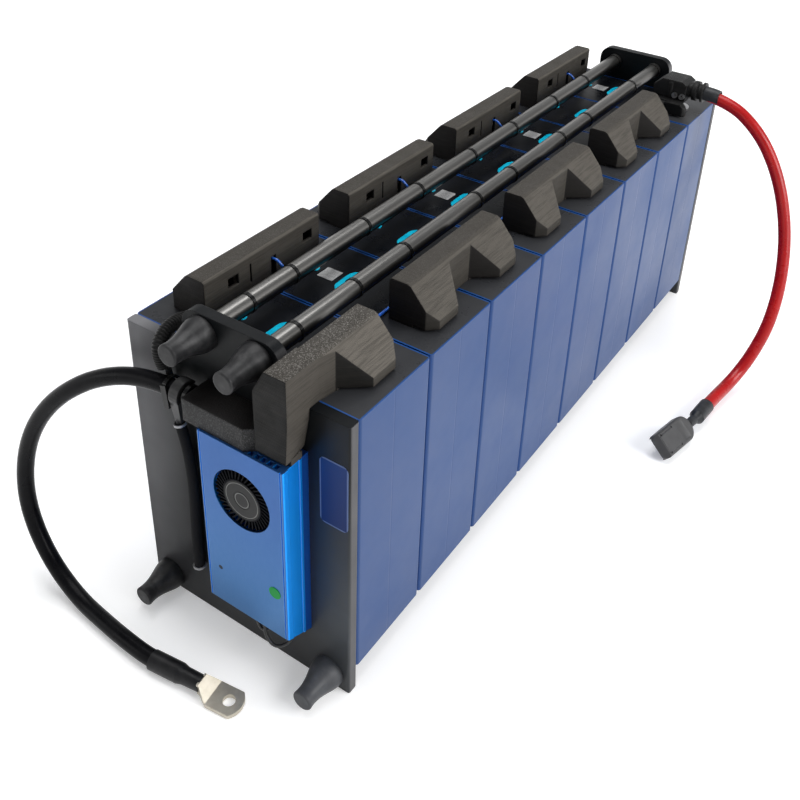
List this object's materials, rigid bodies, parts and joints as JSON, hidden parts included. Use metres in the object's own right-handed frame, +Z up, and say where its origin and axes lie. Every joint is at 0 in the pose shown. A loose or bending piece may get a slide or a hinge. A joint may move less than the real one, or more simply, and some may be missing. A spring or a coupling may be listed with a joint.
{
  "type": "lithium iron phosphate battery",
  "caption": "Prismatic-cell battery pack clamped between end plates by tie rods, with terminal covers, a fan-cooled management unit and lugged power cables.",
  "frame": {"origin": "middle of the pack at the height of the surface that the end plates stand on, halfway between the front cap tips and the rear rod ends", "axes": "+X to the positive cable's side, +Y from the management unit towards the rear plate, +Z up"},
  "size_m": [0.3759, 0.6733, 0.2545],
  "materials": {
    "film_blue": "glossy shrink film",
    "top_black": "satin",
    "vent_cyan": "glossy film",
    "label_grey": "plain",
    "terminal_metal": "machined",
    "busbar_metal": "plain rolled",
    "fastener_steel": "zinc plated",
    "spacer_dark": "plain sheet",
    "plate_black": "satin",
    "sleeve_black": "glossy",
    "cap_rubber": "smooth",
    "tie_black": "smooth",
    "cover_grey": "fine layer lines",
    "cover_black": "fine layer lines",
    "unit_blue": "blue anodised",
    "unit_blue_dark": "blue anodised",
    "board_green": "lacquered",
    "socket_white": "moulded",
    "fan_black": "moulded",
    "coil_copper": "lacquered wire",
    "cable_black": "satin silicone",
    "cable_red": "glossy silicone",
    "shrink_black": "shrunk tube",
    "lug_tin": "tinned copper",
    "hood_grey": "moulded",
    "braid_black": "braided",
    "ring_grey": "crimped",
    "strand_grey": "taped wire bundle",
    "wire_blue": "insulated wire",
    "sticker_plain": "blank printed film"
  },
  "bodies": {
    "pack": {"bms_base": "unit_blue_dark", "bms_board": "board_green", "bms_housing": "unit_blue", "bms_sockets": "socket_white", "bms_tails": "tie_black", "busbars": "busbar_metal", "cell_1": "film_blue", "cell_2": "film_blue", "cell_3": "film_blue", "cell_4": "film_blue", "cell_5": "film_blue", "cell_6": "film_blue", "cell_7": "film_blue", "cell_8": "film_blue", "cell_labels": "label_grey", "cell_spacers": "spacer_dark", "cell_terminals": "terminal_metal", "cell_top_plates": "top_black", "cell_vents": "vent_cyan", "cover_left_1": "cover_grey", "cover_left_2": "cover_grey", "cover_left_3": "cover_grey", "cover_left_4": "cover_grey", "cover_negative": "cover_black", "cover_right_1": "cover_grey", "cover_right_2": "cover_grey", "cover_right_3": "cover_grey", "fan_frame": "fan_black", "fan_stator": "coil_copper", "front_end_plate": "plate_black", "harness_conduit": "tie_black", "harness_rings": "ring_grey", "harness_sleeve": "braid_black", "harness_strand": "strand_grey", "harness_ties": "tie_black", "lead_cover": "cover_black", "negative_cable": "cable_black", "negative_lug": "lug_tin", "negative_shrink": "shrink_black", "positive_boot": "hood_grey", "positive_cable": "cable_red", "positive_clamp_base": "cover_black", "positive_clamp_lid": "cover_black", "positive_clamp_screws": "fastener_steel", "positive_lug": "lug_tin", "positive_shrinks": "shrink_black", "rear_end_plate": "plate_black", "rod_caps": "cap_rubber", "rod_nuts": "fastener_steel", "rod_sleeves_bottom": "sleeve_black", "rod_sleeves_top": "sleeve_black", "rod_ties": "tie_black", "rod_washers": "fastener_steel", "sense_wires": "wire_blue", "stickers": "sticker_plain", "terminal_nuts": "fastener_steel", "tie_rods_bottom": "fastener_steel", "tie_rods_top": "fastener_steel"},
    "fan": {"fan_rotor": "fan_black"}
  },
  "joints": [
    {"name": "fan_spin", "type": "hinge", "parent": "pack", "child": "fan", "pos_m": [0.0242, -0.3068, 0.1528], "axis": [0, 1, 0], "continuous": true}
  ]
}
